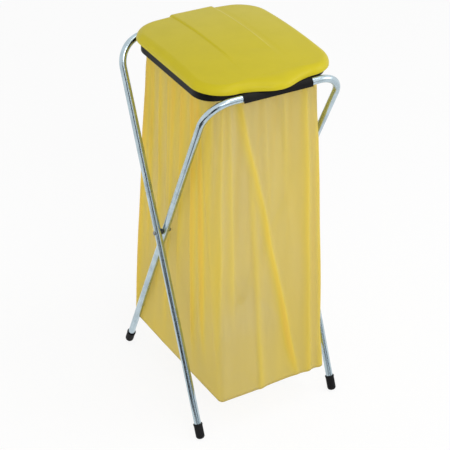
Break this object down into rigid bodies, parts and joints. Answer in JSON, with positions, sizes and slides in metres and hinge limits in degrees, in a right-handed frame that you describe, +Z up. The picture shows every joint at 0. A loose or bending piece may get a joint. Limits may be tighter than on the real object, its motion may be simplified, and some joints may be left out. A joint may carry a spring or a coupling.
{
  "type": "bin bag holder",
  "caption": "Folding stand of crossed tube frames that holds a bin bag open in a square hoop under a hinged lid.",
  "frame": {"origin": "on the floor, in the middle between the four feet", "axes": "+Z up, X along the top bars, -Y towards the front bar and the lid's finger lip, +Y towards the hinge"},
  "size_m": [0.3784, 0.4226, 0.8714],
  "materials": {
    "plated_tube": "zinc plated, drawn",
    "foot_cap": "matt",
    "bolt": "satin",
    "spacer": "matt",
    "hoop": "satin moulded",
    "lid": "satin moulded",
    "film": "translucent film"
  },
  "bodies": {
    "outer_frame": {"outer_leg_tube": "plated_tube", "outer_foot_cap_left": "foot_cap", "outer_foot_cap_right": "foot_cap", "pivot_bolt_left": "bolt", "pivot_bolt_right": "bolt", "pivot_nut_left": "bolt", "pivot_nut_right": "bolt", "pivot_spacer_left": "spacer", "pivot_spacer_right": "spacer"},
    "inner_frame": {"inner_leg_tube": "plated_tube", "inner_foot_cap_left": "foot_cap", "inner_foot_cap_right": "foot_cap"},
    "hoop": {"bag_hoop": "hoop", "bag": "film"},
    "lid": {"lid": "lid"}
  },
  "joints": [
    {"name": "frame_fold", "type": "hinge", "parent": "outer_frame", "child": "inner_frame", "pos_m": [0, 0, 0.44339], "axis": [-1, 0, 0], "range_deg": [0, 46]},
    {"name": "hoop_tilt", "type": "hinge", "parent": "outer_frame", "child": "hoop", "pos_m": [0, 0.177, 0.83], "axis": [-1, 0, 0], "range_deg": [0, 114.54], "deforming": ["bag"]},
    {"name": "lid_hinge", "type": "hinge", "parent": "hoop", "child": "lid", "pos_m": [0, 0.177, 0.83], "axis": [-1, 0, 0], "range_deg": [0, 105]}
  ],
  "couplings": [
    {"joint": "hoop_tilt", "follows": "frame_fold", "ratio": 2.49}
  ]
}
